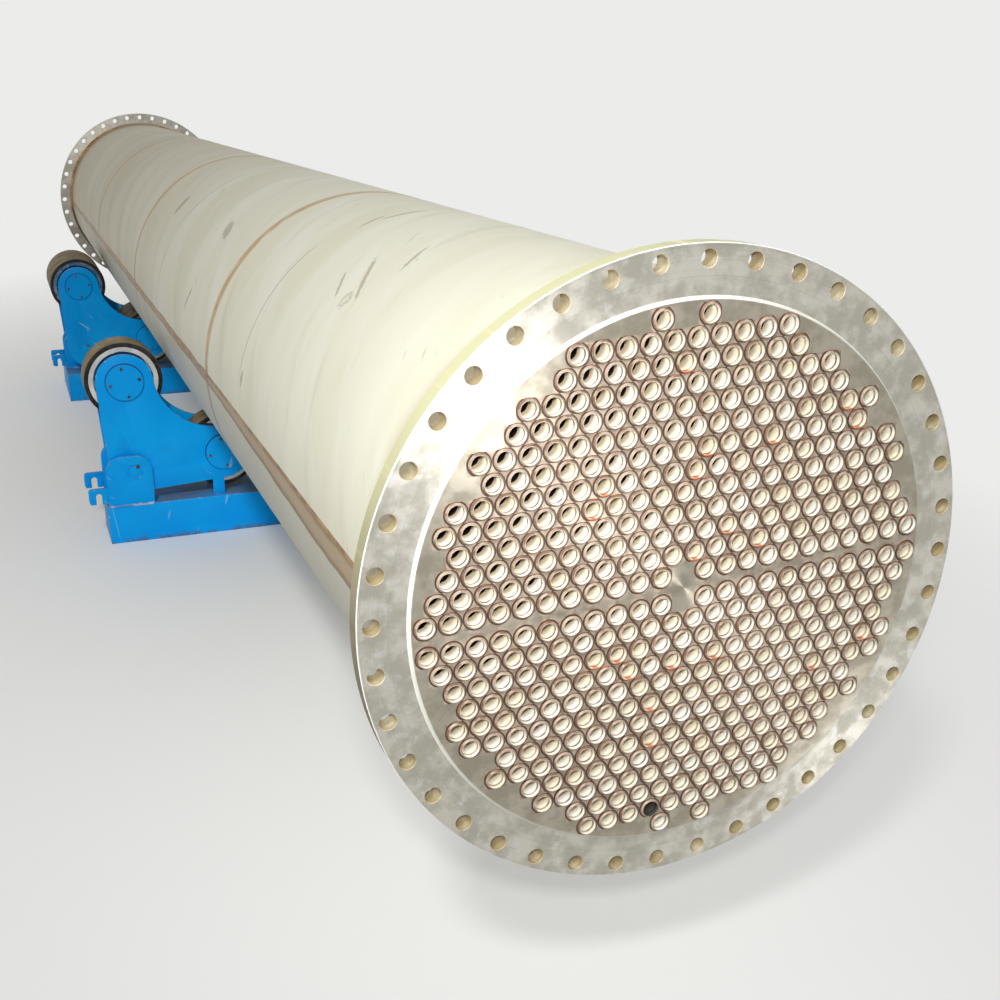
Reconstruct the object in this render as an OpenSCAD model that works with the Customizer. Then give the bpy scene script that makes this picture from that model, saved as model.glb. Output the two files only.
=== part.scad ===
// Shell and tube heat exchanger lying on two self-aligning roller stands.
// The vessel's axis runs along Y at axis_h over the floor, with the front tubesheet facing -Y.
// Lengths are millimetres. X = 0 and Y = 0 are the middle of the vessel, and Z = 0 is the floor.

/* [Vessel] */
// Length between the outer flange faces of the two tubesheets
vessel_len = 5700; // [4800:10:6400]
// Height of the vessel's axis over the floor
axis_h = 692; // [660:1:740]
// Outside diameter of the shell
shell_od = 762; // [740:1:780]
// Wall of the shell
shell_t = 8; // [5:0.5:12]
// Length of the first shell course
course_1_len = 1348; // [1000:1:1600]
// Length of the second shell course
course_2_len = 1364; // [1000:1:1600]
// Length of the third shell course
course_3_len = 1290; // [900:1:1500]
// Width of the girth and long seam welds
weld_w = 7; // [4:0.5:12]
// Angle that the vessel has been rolled to on its rollers
vessel_turn = 3.7; // [-20:0.1:20]
// Angle of the long seams above the left end of the pass lane
seam_angle = 3; // [-20:0.5:40]
// Shift of the long seam from one course to the next, in degrees
seam_shift = 1.2; // [0:0.1:10]

/* [Tubesheets] */
// Outside diameter of the flange
flange_od = 872; // [850:1:960]
// Thickness of the flange
flange_t = 28; // [20:1:60]
// Diameter of the bolt circle
bolt_circle = 834; // [815:1:900]
// Number of bolt holes
bolt_count = 40; // [24:4:48]
// Diameter of a bolt hole
bolt_hole_d = 22; // [14:0.5:26]
// Diameter of the raised tube field
field_d = 742; // [736:1:760]
// Height of the raised tube field over the flange face
field_h = 6; // [2:0.5:12]
// Leg of the fillet weld between shell and tubesheet
fillet_w = 9; // [4:0.5:14]

/* [Tubes] */
// Outside diameter of a tube
tube_od = 25.4; // [19:0.1:27]
// Wall of a tube
tube_t = 1.65; // [1.2:0.05:3]
// Centre distance of neighbouring tubes
tube_pitch = 32; // [31:0.1:40]
// Centre distance of the two rows beside the pass lane
lane_w = 39.4; // [34:0.1:60]
// Least distance from a tube to the inside of the shell
tube_margin = 4; // [2:0.5:12]
// Radial clearance of a tube in its hole
tube_fit = 0.3; // [0.2:0.05:0.5]
// How far a tube stands out of the tubesheet
tube_out = 3.5; // [1:0.5:8]
// Leg of the weld bead on the tubesheet around a tube
bead_w = 2; // [1:0.1:2.4]
// Height of the weld bead along the tube
bead_h = 2.6; // [1:0.1:3.4]

/* [Rollers] */
// Diameter of a roller over its tyre
roller_d = 222; // [200:1:230]
// Diameter of the steel hub inside the tyre
hub_d = 196; // [170:1:206]
// Bevel on the shoulders of the tyre
tyre_bevel = 5; // [2:0.5:10]
// Length of a roller on the idler stand
idler_roller_len = 100; // [80:5:200]
// Length of a roller on the drive stand
drive_roller_len = 315; // [240:5:340]
// Wall of a hub's rim, inside the tyre
rim_t = 13; // [8:1:18]
// Wall of a hub's boss, around the axle
boss_t = 16; // [8:1:20]
// Thickness of the disc between a hub's rim and its boss
hub_disc = 60; // [30:1:70]
// Diameter of a roller's axle
axle_d = 40; // [25:1:50]
// Radial clearance of a turning bore on its axle
run_fit = 0.3; // [0.2:0.05:0.5]
// Gap between the shell and a roller that carries it
shell_gap = 0.3; // [0.2:0.05:0.5]
// Angle of the carrying rollers off the vertical, seen from the vessel's axis
roller_angle = 25.6; // [24:0.1:30]

/* [Rockers] */
// Distance between the two rollers of a rocker
roller_span = 357; // [330:1:380]
// Tilt of a rocker, from level
rocker_tilt = 41; // [38:0.1:43]
// Thickness of a rocker's cheek plates
cheek_t = 12; // [8:1:16]
// Gap between a cheek plate and the roller
cheek_gap = 10; // [5:1:15]
// Radius of a cheek plate around a roller's axle
lobe_r = 81; // [70:1:88]
// Radius of a cheek plate around the pivot
heel_r = 68; // [50:1:75]
// Distance from the line of the axles to the pivot
pivot_drop = 198; // [185:1:205]
// Depth of material above the line of the axles, at the middle of a cheek plate
waist = 10; // [5:1:35]
// Diameter of the pivot pin
pivot_d = 40; // [30:1:50]
// Diameter of the bearing covers
cover_d = 106; // [80:1:120]
// Thickness of the bearing covers
cover_t = 8; // [4:1:12]
// Width of the stop foot under a rocker
stop_w = 34; // [20:1:50]
// Distance of the stop foot from the middle of the stand
stop_x = 233; // [220:1:250]
// Wall of the tube that holds a rocker's cheek plates at the pivot
pivot_wall = 10; // [6:1:14]
// Thickness of the web between a rocker's cheek plates
web_t = 12; // [8:1:16]
// Distance from the pivot to the web's lower edge
web_from = 80; // [76:1:110]
// How far a pivot pin stands out of the plates that hold it
pin_out = 3; // [1:0.5:6]

/* [Stand base] */
// Place of the idler stand, from the front flange face
idler_at = 2345; // [2100:5:2500]
// Place of the drive stand, from the front flange face
drive_at = 4255; // [4000:5:4500]
// How far a stand's base reaches past its pivot ears
base_over = 4; // [2:1:40]
// Height of the base channels
channel_h = 116; // [100:1:125]
// Width of the channel flanges
channel_w = 50; // [42:1:58]
// Thickness of the channels, the deck between them and the end plates
channel_t = 8; // [5:0.5:12]
// Thickness of the pivot ears
ear_t = 12; // [8:1:16]
// Gap between an idler's pivot ear and its rocker
ear_gap = 6; // [3:0.5:10]
// Width of a pivot ear
ear_w = 132; // [110:1:150]
// How far the ear's middle lies outside its pivot
ear_shift = 16; // [0:1:24]
// Height of the ear over the pivot
ear_over = 50; // [42:1:60]
// Corner radius of the ear's top
ear_corner = 46; // [20:1:54]
// Width over the drive stand's pivot ears, which stand between the cheek plates
drive_ear_span = 122; // [90:2:200]
// Length of a tie hook
hook_len = 55; // [45:1:70]
// Height of a tie hook
hook_h = 48; // [40:1:60]
// Height of a tie hook's lower edge over the base
hook_over = 11; // [4:1:30]
// Width of the slot that opens downwards in a tie hook
hook_slot = 17; // [12:1:22]
// Width of a tie hook outside its slot
hook_leg = 20; // [12:1:24]
// Height of the slot
slot_h = 33; // [24:1:36]
// Radius of a tie hook's outer corners
hook_corner = 9; // [3:1:10]

/* [Hidden] */
$fn = 72;

// Small overlap of shapes that are joined or cut
eps = 0.01;

// Depth by which round outlines cross each other or a line, where they would only touch
lap = 0.05;

shell_r = shell_od / 2;
shell_ir = shell_r - shell_t;
front_y = -vessel_len / 2;
rear_y = vessel_len / 2;

// The shell runs between the inner faces of the two tubesheets
shell_y = front_y + flange_t;
shell_len = vessel_len - 2 * flange_t;
seam_1 = shell_y + course_1_len;
seam_2 = seam_1 + weld_w + course_2_len;
seam_3 = seam_2 + weld_w + course_3_len;
course_4_len = shell_y + shell_len - seam_3 - weld_w;

// Places of the tubes in one half of the field: rows lie off the pass lane, shifted by half a pitch
tube_r = tube_od / 2;
row_step = tube_pitch * sqrt(3) / 2;
tube_limit = shell_ir - tube_r - tube_margin;
row_count = floor((tube_limit - lane_w / 2) / row_step) + 1;
// Places kept free of tubes, as row and pitches from the middle: tie rods and the two middle spots
free_spots = [[1, 0], [4, 10.5], [7, 9], [9, 8], [11, 6], [13, 0]];
function is_free(row, side) = len([for (spot = free_spots) if (spot == [row, abs(side)]) 1]) > 0;
tube_spots = [
    for (row = [1 : row_count])
        let (y = lane_w / 2 + (row - 1) * row_step)
        let (shift = row % 2 == 1 ? 0 : 0.5)
        let (last = floor(sqrt(max(0, tube_limit * tube_limit - y * y)) / tube_pitch - shift))
        for (k = [-last - (shift > 0 ? 1 : 0) : last])
            if (!is_free(row, k + shift)) [(k + shift) * tube_pitch, y]
];

// Rollers: the inner one of each rocker carries the shell
roller_r = roller_d / 2;
carry_r = shell_r + shell_gap + roller_r;
inner_x = carry_r * sin(roller_angle);
inner_z = axis_h - carry_r * cos(roller_angle);
mid_x = inner_x + roller_span / 2 * cos(rocker_tilt);
mid_z = inner_z + roller_span / 2 * sin(rocker_tilt);
pivot_x = mid_x + pivot_drop * sin(rocker_tilt);
pivot_z = mid_z - pivot_drop * cos(rocker_tilt);

// The waist arc of a cheek plate touches both lobes
waist_r = (pow(roller_span / 2, 2) + pow(waist, 2) - pow(lobe_r, 2)) / (2 * (lobe_r - waist));
waist_c = [0, waist + waist_r];
lobe_c = [roller_span / 2, 0];
heel_c = [0, -pivot_drop];

// The base ends a little outside its ears
ear_mid = pivot_x + ear_shift;
base_len = 2 * (ear_mid + ear_w / 2 + base_over);

// Widths of a stand along the vessel, from the roller outwards
function inner_width(roller_len) = roller_len + 2 * cheek_gap;
function rocker_width(roller_len) = inner_width(roller_len) + 2 * cheek_t;
function ear_inside(roller_len) = rocker_width(roller_len) + 2 * ear_gap;
function stand_width(roller_len) = ear_inside(roller_len) + 2 * ear_t;

stand_blue = [0.0, 0.55, 0.86];
steel_cream = [0.84, 0.82, 0.72];
steel_plate = [0.66, 0.65, 0.6];
weld_brown = [0.55, 0.42, 0.28];

// Raises a drawing in the plane across the vessel into a plate from y to y + t
module upright(y, t) {
    translate([0, y + t, 0]) rotate([90, 0, 0]) linear_extrude(t) children();
}

// A drawing around the vessel's axis, turned with the vessel
module about_axis() {
    translate([0, axis_h]) rotate(vessel_turn) children();
}

// The same piece on both sides of the stand
module both_sides() {
    children();
    mirror([1, 0, 0]) children();
}

module ring(r_out, r_in) {
    difference() {
        circle(r_out);
        circle(r_in);
    }
}

// Plate of one tubesheet in outline, with its tube holes and, for the flange, its bolt holes
module tube_holes() {
    for (spot = tube_spots) {
        translate(spot) circle(tube_r + tube_fit);
        translate(-spot) circle(tube_r + tube_fit);
    }
}

module bolt_holes() {
    for (i = [0 : bolt_count - 1])
        rotate((i + 0.5) * 360 / bolt_count) translate([0, bolt_circle / 2]) circle(bolt_hole_d / 2);
}

module flange_plate() {
    difference() {
        circle(flange_od / 2);
        bolt_holes();
        tube_holes();
    }
}

module field_plate() {
    difference() {
        circle(field_d / 2);
        tube_holes();
    }
}

module front_tubesheet() {
    color(steel_plate) {
        upright(front_y, flange_t) about_axis() flange_plate();
        upright(front_y - field_h, field_h + eps) about_axis() field_plate();
    }
}

module rear_tubesheet() {
    color(steel_plate) {
        upright(rear_y - flange_t, flange_t) about_axis() flange_plate();
        upright(rear_y - eps, field_h + eps) about_axis() field_plate();
    }
}

// The open joint of a rolled plate, which the long weld fills
module seam_slot(course) {
    rotate(180 - seam_angle - (course % 2) * seam_shift)
        translate([shell_ir - shell_t, -weld_w / 2]) square([3 * shell_t, weld_w]);
}

module shell_course(course, y, len) {
    color(steel_cream) upright(y, len) about_axis() difference() {
        ring(shell_r, shell_ir);
        seam_slot(course);
    }
}

module shell_course_1() { shell_course(1, shell_y, course_1_len); }
module shell_course_2() { shell_course(2, seam_1 + weld_w, course_2_len); }
module shell_course_3() { shell_course(3, seam_2 + weld_w, course_3_len); }
module shell_course_4() { shell_course(4, seam_3 + weld_w, course_4_len); }

module girth_welds() {
    color(weld_brown) for (y = [seam_1, seam_2, seam_3])
        upright(y, weld_w) about_axis() ring(shell_r, shell_ir);
}

module long_weld(course, y, len) {
    upright(y, len) about_axis() intersection() {
        ring(shell_r, shell_ir);
        seam_slot(course);
    }
}

module long_welds() {
    color(weld_brown) {
        long_weld(1, shell_y, course_1_len);
        long_weld(2, seam_1 + weld_w, course_2_len);
        long_weld(3, seam_2 + weld_w, course_3_len);
        long_weld(4, seam_3 + weld_w, course_4_len);
    }
}

// Fillet between the shell and a tubesheet, drawn with its long leg on the tubesheet
module fillet_ring() {
    rotate_extrude() polygon([[shell_r, 0], [shell_r + fillet_w, 0], [shell_r, fillet_w]]);
}

module tubesheet_welds() {
    color(weld_brown) {
        translate([0, front_y + flange_t, axis_h]) rotate([-90, 0, 0]) fillet_ring();
        translate([0, rear_y - flange_t, axis_h]) rotate([90, 0, 0]) fillet_ring();
    }
}

// One tube from end to end, with the weld beads that lie on the raised faces
module tube() {
    len = vessel_len + 2 * field_h;
    bead_r = tube_r + bead_w;
    rotate_extrude() polygon([
        [tube_r - tube_t, -tube_out], [tube_r, -tube_out],
        [tube_r, -bead_h], [bead_r, 0], [tube_r, 0],
        [tube_r, len], [bead_r, len], [tube_r, len + bead_h],
        [tube_r, len + tube_out], [tube_r - tube_t, len + tube_out]
    ]);
}

module tube_bundle(spots) {
    color(steel_cream) for (spot = spots)
        translate([0, front_y - field_h, axis_h]) rotate([0, -vessel_turn, 0])
            translate([spot[0], 0, spot[1]]) rotate([-90, 0, 0]) tube();
}

module upper_tubes() { tube_bundle(tube_spots); }
module lower_tubes() { tube_bundle([for (spot = tube_spots) -spot]); }

// Outline of a cheek plate: two lobes and a heel with tangent sides, and the waist arc cut out
function heel_normal() =
    let (gap = heel_c - lobe_c)
    let (e = gap / norm(gap))
    let (k = (lobe_r - heel_r) / norm(gap))
    e * k + [-e[1], e[0]] * sqrt(1 - k * k);

module cheek_outline() {
    n = heel_normal();
    lobe_side = lobe_c + (lobe_r - lap) * n;
    heel_side = heel_c + (heel_r - lap) * n;
    waist_dir = (waist_c - lobe_c) / norm(waist_c - lobe_c);
    waist_side = lobe_c + (lobe_r + waist) * waist_dir;
    difference() {
        union() {
            for (side = [-1, 1]) translate([side * lobe_c[0], 0]) circle(lobe_r);
            translate(heel_c) circle(heel_r);
            polygon([
                lobe_side, heel_side, [-heel_side[0], heel_side[1]], [-lobe_side[0], lobe_side[1]],
                -lobe_c, [-waist_side[0], waist_side[1]], waist_side, lobe_c
            ]);
        }
        translate(waist_c) circle(waist_r + lap);
    }
}

// From the rocker's own drawing to the right side of the stand
module at_rocker() {
    translate([mid_x, mid_z]) rotate(rocker_tilt) children();
}

module cheek_drawing() {
    difference() {
        union() {
            at_rocker() cheek_outline();
            translate([stop_x - stop_w / 2, channel_h]) square([stop_w, inner_z - channel_h]);
        }
        at_rocker() {
            for (side = [-1, 1]) translate([side * lobe_c[0], 0]) circle(axle_d / 2);
            translate(heel_c) circle(pivot_d / 2);
        }
    }
}

// Rocker: two cheek plates and a web between the rollers. Each plate also holds a tube around the pivot,
// and tube_gap is the room that is left between the two tubes.
module rocker(y, roller_len, tube_gap) {
    outer = rocker_width(roller_len) / 2;
    inner = inner_width(roller_len) / 2;
    tube_len = inner - tube_gap / 2 + eps;
    web_low = pivot_drop - web_from;
    upright(y - outer, cheek_t) cheek_drawing();
    upright(y + inner, cheek_t) cheek_drawing();
    for (at = [y - inner - eps, y + tube_gap / 2])
        upright(at, tube_len) at_rocker() translate(heel_c) ring(pivot_d / 2 + pivot_wall, pivot_d / 2);
    upright(y - inner - eps, 2 * inner + 2 * eps) at_rocker()
        translate([-web_t / 2, -web_low]) square([web_t, web_low - web_t]);
}

module axles(y, roller_len) {
    len = rocker_width(roller_len);
    both_sides() upright(y - len / 2, len) at_rocker()
        for (side = [-1, 1]) translate([side * lobe_c[0], 0]) circle(axle_d / 2);
}

module covers(y, roller_len) {
    half = rocker_width(roller_len) / 2;
    both_sides() for (at = [y - half - cover_t, y + half]) upright(at, cover_t) at_rocker()
        for (side = [-1, 1]) translate([side * lobe_c[0], 0]) circle(cover_d / 2);
}

// Roller: a hub dished on both faces, and a tyre with bevelled shoulders
module hub(roller_len) {
    hub_r = hub_d / 2;
    rim_r = hub_r - rim_t;
    boss_r = axle_d / 2 + boss_t;
    bore_r = axle_d / 2 + run_fit;
    h = roller_len / 2;
    disc = hub_disc / 2;
    rotate_extrude() polygon([
        [bore_r, -h], [boss_r, -h], [boss_r, -disc], [rim_r, -disc], [rim_r, -h], [hub_r, -h],
        [hub_r, h], [rim_r, h], [rim_r, disc], [boss_r, disc], [boss_r, h], [bore_r, h]
    ]);
}

module tyre(roller_len) {
    h = roller_len / 2;
    rotate_extrude() polygon([
        [hub_d / 2, -h], [roller_r - tyre_bevel, -h], [roller_r, tyre_bevel - h],
        [roller_r, h - tyre_bevel], [roller_r - tyre_bevel, h], [hub_d / 2, h]
    ]);
}

// side is -1 on the left and 1 on the right, place is -1 for the inner roller and 1 for the outer
module at_roller(y, side, place) {
    x = mid_x + place * roller_span / 2 * cos(rocker_tilt);
    z = mid_z + place * roller_span / 2 * sin(rocker_tilt);
    translate([side * x, y, z]) rotate([90, 0, 0]) children();
}

module roller_hub(y, roller_len, side, place) {
    color([0.7, 0.72, 0.74]) at_roller(y, side, place) hub(roller_len);
}

module roller_tyre(y, roller_len, side, place) {
    color([0.5, 0.44, 0.3]) at_roller(y, side, place) tyre(roller_len);
}

// Base: a channel in front and one behind, with a deck, two end plates and a middle plate between them
module channel() {
    difference() {
        square([channel_w, channel_h]);
        translate([channel_t, channel_t]) square([channel_w, channel_h - 2 * channel_t]);
    }
}

module base(y, roller_len) {
    half = stand_width(roller_len) / 2;
    for (side = [-1, 1])
        translate([-base_len / 2, y, 0]) scale([1, side, 1]) translate([0, -half, 0])
            rotate([90, 0, 90]) linear_extrude(base_len) channel();
    translate([-base_len / 2, y - half + channel_w - eps, channel_h - channel_t])
        cube([base_len, 2 * (half - channel_w + eps), channel_t]);
    for (x = [-base_len / 2, -channel_t / 2, base_len / 2 - channel_t])
        translate([x, y - half + channel_t - eps, 0])
            cube([channel_t, 2 * (half - channel_t + eps), channel_h]);
}

module ear_drawing() {
    low = channel_h;
    top = pivot_z + ear_over;
    left = ear_mid - ear_w / 2;
    difference() {
        union() {
            translate([left, low]) square([ear_w, top - ear_corner - low]);
            translate([left + ear_corner, low]) square([ear_w - 2 * ear_corner, top - low]);
            for (x = [left + ear_corner, left + ear_w - ear_corner])
                translate([x, top - ear_corner]) circle(ear_corner);
        }
        translate([pivot_x, pivot_z]) circle(pivot_d / 2);
    }
}

// Two ears on each side of a stand, with their outer faces span apart
module ears(y, span) {
    both_sides() for (at = [y - span / 2, y + span / 2 - ear_t]) upright(at, ear_t) ear_drawing();
}

// Hook on the outer edge of each ear, open downwards, for the rod that ties a stand to the next
module hook_drawing() {
    left = ear_mid + ear_w / 2;
    right = left + hook_len;
    low = channel_h + hook_over;
    slot_left = right - hook_leg - hook_slot;
    slot_top = low + slot_h - hook_slot / 2;
    difference() {
        union() {
            translate([left, low]) square([hook_len - hook_corner, hook_h]);
            translate([left, low + hook_corner]) square([hook_len, hook_h - 2 * hook_corner]);
            for (z = [low + hook_corner, low + hook_h - hook_corner])
                translate([right - hook_corner, z]) circle(hook_corner);
        }
        translate([slot_left + hook_slot / 2, slot_top]) circle(hook_slot / 2);
        translate([slot_left, low - eps]) square([hook_slot, slot_top - low + eps]);
    }
}

module hooks(y, span) {
    both_sides() for (at = [y - span / 2, y + span / 2 - ear_t]) upright(at, ear_t) hook_drawing();
}

// Pivot pins through plates whose outer faces are span apart
module pivots(y, span) {
    both_sides() upright(y - span / 2 - pin_out, span + 2 * pin_out)
        translate([pivot_x, pivot_z]) circle(pivot_d / 2);
}

idler_y = front_y + idler_at;
drive_y = front_y + drive_at;

// The idler's ears stand outside its narrow rockers, and the drive's inside its wide ones
idler_ear_span = stand_width(idler_roller_len);
drive_tube_gap = drive_ear_span + 2 * ear_gap;

module idler_base() { color(stand_blue) base(idler_y, idler_roller_len); }
module idler_ears() { color(stand_blue) ears(idler_y, idler_ear_span); }
module idler_hooks() { color(stand_blue) hooks(idler_y, idler_ear_span); }
module idler_right_rocker() { color(stand_blue) rocker(idler_y, idler_roller_len, 0); }
module idler_left_rocker() { mirror([1, 0, 0]) idler_right_rocker(); }
module idler_pivots() { color("silver") pivots(idler_y, idler_ear_span); }
module idler_axles() { color("silver") axles(idler_y, idler_roller_len); }
module idler_covers() { color(stand_blue) covers(idler_y, idler_roller_len); }

module drive_base() { color(stand_blue) base(drive_y, drive_roller_len); }
module drive_ears() { color(stand_blue) ears(drive_y, drive_ear_span); }
module drive_hooks() { color(stand_blue) hooks(drive_y, drive_ear_span); }
module drive_right_rocker() { color(stand_blue) rocker(drive_y, drive_roller_len, drive_tube_gap); }
module drive_left_rocker() { mirror([1, 0, 0]) drive_right_rocker(); }
module drive_pivots() { color("silver") pivots(drive_y, rocker_width(drive_roller_len)); }
module drive_axles() { color("silver") axles(drive_y, drive_roller_len); }
module drive_covers() { color(stand_blue) covers(drive_y, drive_roller_len); }

front_tubesheet();
rear_tubesheet();
shell_course_1();
shell_course_2();
shell_course_3();
shell_course_4();
girth_welds();
long_welds();
tubesheet_welds();
upper_tubes();
lower_tubes();
idler_base();
idler_ears();
idler_hooks();
idler_left_rocker();
idler_right_rocker();
idler_pivots();
idler_axles();
idler_covers();
roller_hub(idler_y, idler_roller_len, -1, 1);  // idler_left_outer_hub
roller_tyre(idler_y, idler_roller_len, -1, 1);  // idler_left_outer_tyre
roller_hub(idler_y, idler_roller_len, -1, -1);  // idler_left_inner_hub
roller_tyre(idler_y, idler_roller_len, -1, -1);  // idler_left_inner_tyre
roller_hub(idler_y, idler_roller_len, 1, 1);  // idler_right_outer_hub
roller_tyre(idler_y, idler_roller_len, 1, 1);  // idler_right_outer_tyre
roller_hub(idler_y, idler_roller_len, 1, -1);  // idler_right_inner_hub
roller_tyre(idler_y, idler_roller_len, 1, -1);  // idler_right_inner_tyre
drive_base();
drive_ears();
drive_hooks();
drive_left_rocker();
drive_right_rocker();
drive_pivots();
drive_axles();
drive_covers();
roller_hub(drive_y, drive_roller_len, -1, 1);  // drive_left_outer_hub
roller_tyre(drive_y, drive_roller_len, -1, 1);  // drive_left_outer_tyre
roller_hub(drive_y, drive_roller_len, -1, -1);  // drive_left_inner_hub
roller_tyre(drive_y, drive_roller_len, -1, -1);  // drive_left_inner_tyre
roller_hub(drive_y, drive_roller_len, 1, 1);  // drive_right_outer_hub
roller_tyre(drive_y, drive_roller_len, 1, 1);  // drive_right_outer_tyre
roller_hub(drive_y, drive_roller_len, 1, -1);  // drive_right_inner_hub
roller_tyre(drive_y, drive_roller_len, 1, -1);  // drive_right_inner_tyre
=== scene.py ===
import math

import bmesh
import bpy
from mathutils import Euler, Matrix, Vector


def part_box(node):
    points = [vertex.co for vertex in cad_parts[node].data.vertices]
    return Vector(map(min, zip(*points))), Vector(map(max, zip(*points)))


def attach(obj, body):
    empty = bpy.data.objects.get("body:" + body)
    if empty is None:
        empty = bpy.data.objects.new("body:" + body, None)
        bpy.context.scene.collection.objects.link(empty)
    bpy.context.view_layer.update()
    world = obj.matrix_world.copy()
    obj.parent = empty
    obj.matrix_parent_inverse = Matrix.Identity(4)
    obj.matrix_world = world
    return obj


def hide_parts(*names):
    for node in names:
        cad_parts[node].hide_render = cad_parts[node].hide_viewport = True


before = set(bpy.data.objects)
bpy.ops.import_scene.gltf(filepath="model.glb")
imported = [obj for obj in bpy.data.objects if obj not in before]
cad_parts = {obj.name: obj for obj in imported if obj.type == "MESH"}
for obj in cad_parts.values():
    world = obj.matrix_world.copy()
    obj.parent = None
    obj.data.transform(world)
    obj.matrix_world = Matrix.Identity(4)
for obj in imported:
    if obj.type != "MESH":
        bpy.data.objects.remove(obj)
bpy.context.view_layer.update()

# Camera
# The exchanger is seen from a step to the left of its front tubesheet, from above head height, looking down
# along the shell. The place, the aim and the lens follow from the bolt circle, the far flange and the stands.
camera_place = Vector((-0.7719, -4.0837, 1.3012))
camera_aim = Euler([math.radians(a) for a in (69.524, -0.470, -21.089)])
sensor_width = 36.0
lens_length = 43.12
lens_shift = (0.0286, 0.0289)
view_depth = 60.0

camera_data = bpy.data.cameras.new("camera")
camera_data.sensor_fit = "HORIZONTAL"
camera_data.sensor_width = sensor_width
camera_data.lens = lens_length
camera_data.shift_x, camera_data.shift_y = lens_shift
camera_data.clip_end = view_depth
camera = bpy.data.objects.new("camera", camera_data)
camera.location = camera_place
camera.rotation_euler = camera_aim
bpy.context.scene.collection.objects.link(camera)
bpy.context.scene.camera = camera


# Stand plates
# Each stand is flame-cut plate and channel, welded up: a base, four ears with tie hooks and two rockers. The
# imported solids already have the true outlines, so each is copied, cleaned and given broken edges.
plate_edge = 0.0013
edge_steps = 2
same_point = 0.00002
flat_angle = math.radians(0.4)
sharp_angle = math.radians(32)
splash_height = 0.022
dust_span = (0.55, 0.98)
STANDS = ("idler", "drive")
SIDES = ("left", "right")


def add_piece(bm, name, body, material):
    """Turns a finished bmesh into a piece that rides on a body and has its edges shaded by angle."""
    mesh = bpy.data.meshes.new(name)
    bm.to_mesh(mesh)
    bm.free()
    mesh.shade_smooth()
    mesh.set_sharp_from_angle(angle=sharp_angle)
    mesh.materials.append(material)
    piece = bpy.data.objects.new(name, mesh)
    bpy.context.scene.collection.objects.link(piece)
    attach(piece, body)
    return piece


def broken_edges(node, width):
    """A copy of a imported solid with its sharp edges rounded, and those rounded faces marked as worn."""
    bm = bmesh.new()
    bm.from_mesh(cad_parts[node].data)
    bmesh.ops.remove_doubles(bm, verts=bm.verts, dist=same_point)
    bmesh.ops.dissolve_limit(bm, angle_limit=flat_angle, verts=bm.verts, edges=bm.edges)
    worn = bm.faces.layers.float.new("worn")
    sharp = [e for e in bm.edges if e.is_manifold and e.calc_face_angle() > sharp_angle]
    made = bmesh.ops.bevel(bm, geom=sharp, offset=width, offset_type="OFFSET", segments=edge_steps,
                           profile=0.5, affect="EDGES", material=-1, clamp_overlap=True)
    for face in made["faces"]:
        face[worn] = 1.0
    return bm


def add(tree, kind, inputs=None, **settings):
    """Adds a node to a tree. Each input is a plain value or the output of another node."""
    made = tree.nodes.new(kind)
    for name, value in settings.items():
        setattr(made, name, value)
    for name, value in (inputs or {}).items():
        if isinstance(value, bpy.types.NodeSocket):
            tree.links.new(value, made.inputs[name])
        else:
            made.inputs[name].default_value = value
    return made


def calc(tree, operation, *values, clamp=False):
    """The result of a math node on numbers or outputs."""
    made = add(tree, "ShaderNodeMath", dict(enumerate(values)), operation=operation, use_clamp=clamp)
    return made.outputs[0]


def plus(tree, first, second):
    """The sum of two numbers or outputs."""
    return calc(tree, "ADD", first, second)


def times(tree, first, second):
    """The product of two numbers or outputs."""
    return calc(tree, "MULTIPLY", first, second)


def fade(tree, value, low, high, to_low=0.0, to_high=1.0, soft=True):
    """Maps a value from one span to another and holds it there."""
    made = add(tree, "ShaderNodeMapRange", {"Value": value, "From Min": low, "From Max": high,
                                            "To Min": to_low, "To Max": to_high}, clamp=True)
    made.interpolation_type = "SMOOTHSTEP" if soft else "LINEAR"
    return made.outputs["Result"]


def past(tree, value, level, softness):
    """A mask of where a value passes a level that is itself an output."""
    return fade(tree, value, level, plus(tree, level, softness))


def widest(tree, masks):
    """Several masks laid over each other."""
    laid = masks[0]
    for mask in masks[1:]:
        laid = calc(tree, "MAXIMUM", laid, mask)
    return laid


def own_place(tree):
    """The object's own coordinates, which turn and move with the piece."""
    return add(tree, "ShaderNodeTexCoord").outputs["Object"]


def part(tree, vector, axis):
    """One coordinate of a vector."""
    return add(tree, "ShaderNodeSeparateXYZ", {0: vector}).outputs[axis]


def facing(tree, axis):
    """How far the surface faces along an axis."""
    return part(tree, add(tree, "ShaderNodeNewGeometry").outputs["Normal"], axis)


def vector_calc(tree, operation, *values):
    """The result of a vector math node."""
    made = add(tree, "ShaderNodeVectorMath", dict(enumerate(values)), operation=operation)
    return made.outputs["Value" if operation == "LENGTH" else "Vector"]


def noise(tree, place, scale, detail, **more):
    """A noise from 0 to 1 over a place."""
    inputs = {"Vector": place, "Scale": scale, "Detail": detail, **more}
    return add(tree, "ShaderNodeTexNoise", inputs).outputs["Fac"]


def colour(red, green, blue):
    """A colour given as it shows on a screen, from 0 to 255, as Blender's linear one."""
    def linear(c):
        c = c / 255
        return c / 12.92 if c < 0.04045 else ((c + 0.055) / 1.055) ** 2.4
    return (linear(red), linear(green), linear(blue), 1.0)


def tint(tree, mask, below, above, share=1.0):
    """Lays one colour over another by a mask, at a share of its full strength."""
    mask = mask if share == 1.0 else times(tree, mask, share)
    return add(tree, "ShaderNodeMix", {"Factor": mask, 6: below, 7: above}, data_type="RGBA").outputs[2]


def stained(tree, below, *stains):
    """Lays stains over a colour, each given as its mask, its colour and its share of full strength."""
    for mask, above, share in stains:
        below = tint(tree, mask, below, above, share)
    return below


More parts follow.
